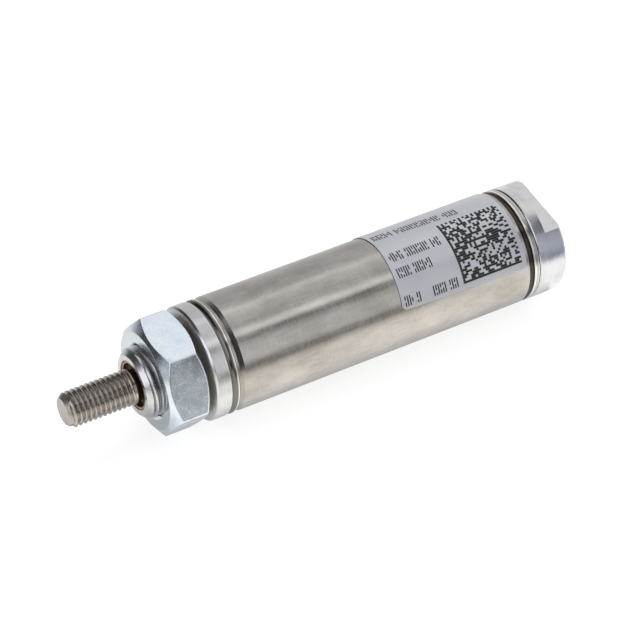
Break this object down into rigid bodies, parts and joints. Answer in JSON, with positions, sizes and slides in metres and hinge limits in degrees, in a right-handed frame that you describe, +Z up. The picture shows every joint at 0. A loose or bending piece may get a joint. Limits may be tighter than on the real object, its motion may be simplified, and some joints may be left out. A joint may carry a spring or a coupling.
{
  "type": "pneumatic cylinder",
  "caption": "Round-body air cylinder with a threaded nose mount, a spring-returned threaded rod and a rear pipe port.",
  "frame": {"origin": "on the cylinder axis, midway between the rod tip and the rear face", "axes": "+X along the axis from the rod end to the rear port, +Z up, -Y is the side that carries the label"},
  "size_m": [0.0944, 0.0216, 0.0207],
  "materials": {
    "aluminium": "bright turned",
    "tube_steel": "satin stainless, drawn",
    "rod_steel": "ground stainless, rolled thread",
    "zinc_steel": "blue-bright zinc plated",
    "bronze": "sintered, oiled",
    "spring_steel": "oiled wire",
    "rubber": "moulded nitrile",
    "acetal": "turned acetal",
    "label": "silver polyester film"
  },
  "bodies": {
    "barrel": {"front_head": "aluminium", "nose_bushing": "bronze", "barrel_tube": "tube_steel", "rear_cap": "aluminium", "front_head_seal": "rubber", "rear_cap_seal": "rubber", "spring_front_seat": "spring_steel", "return_spring": "spring_steel", "stop_sleeve": "acetal", "front_bumper": "rubber", "rear_bumper": "rubber", "id_label": "label"},
    "spring_carrier": {"spring_piston_seat": "spring_steel"},
    "rod_assembly": {"piston_rod": "rod_steel", "piston": "aluminium", "piston_wear_ring": "acetal", "piston_cup_seal": "rubber", "rod_stud_seal": "rubber", "piston_lock_nut": "zinc_steel"},
    "nut": {"mounting_nut": "zinc_steel"}
  },
  "joints": [
    {"name": "rod_slide", "type": "slide", "parent": "barrel", "child": "spring_carrier", "axis": [-1, 0, 0], "range_m": [0, 0.0254], "stiffness_N_per_m": 750, "springref_m": -0.0177, "deforming": ["return_spring"]},
    {"name": "rod_spin", "type": "hinge", "parent": "spring_carrier", "child": "rod_assembly", "pos_m": [0, 0, 0], "axis": [-1, 0, 0], "continuous": true},
    {"name": "nut_spin", "type": "hinge", "parent": "barrel", "child": "nut", "pos_m": [-0.028, 0, 0], "axis": [-1, 0, 0], "continuous": true}
  ]
}
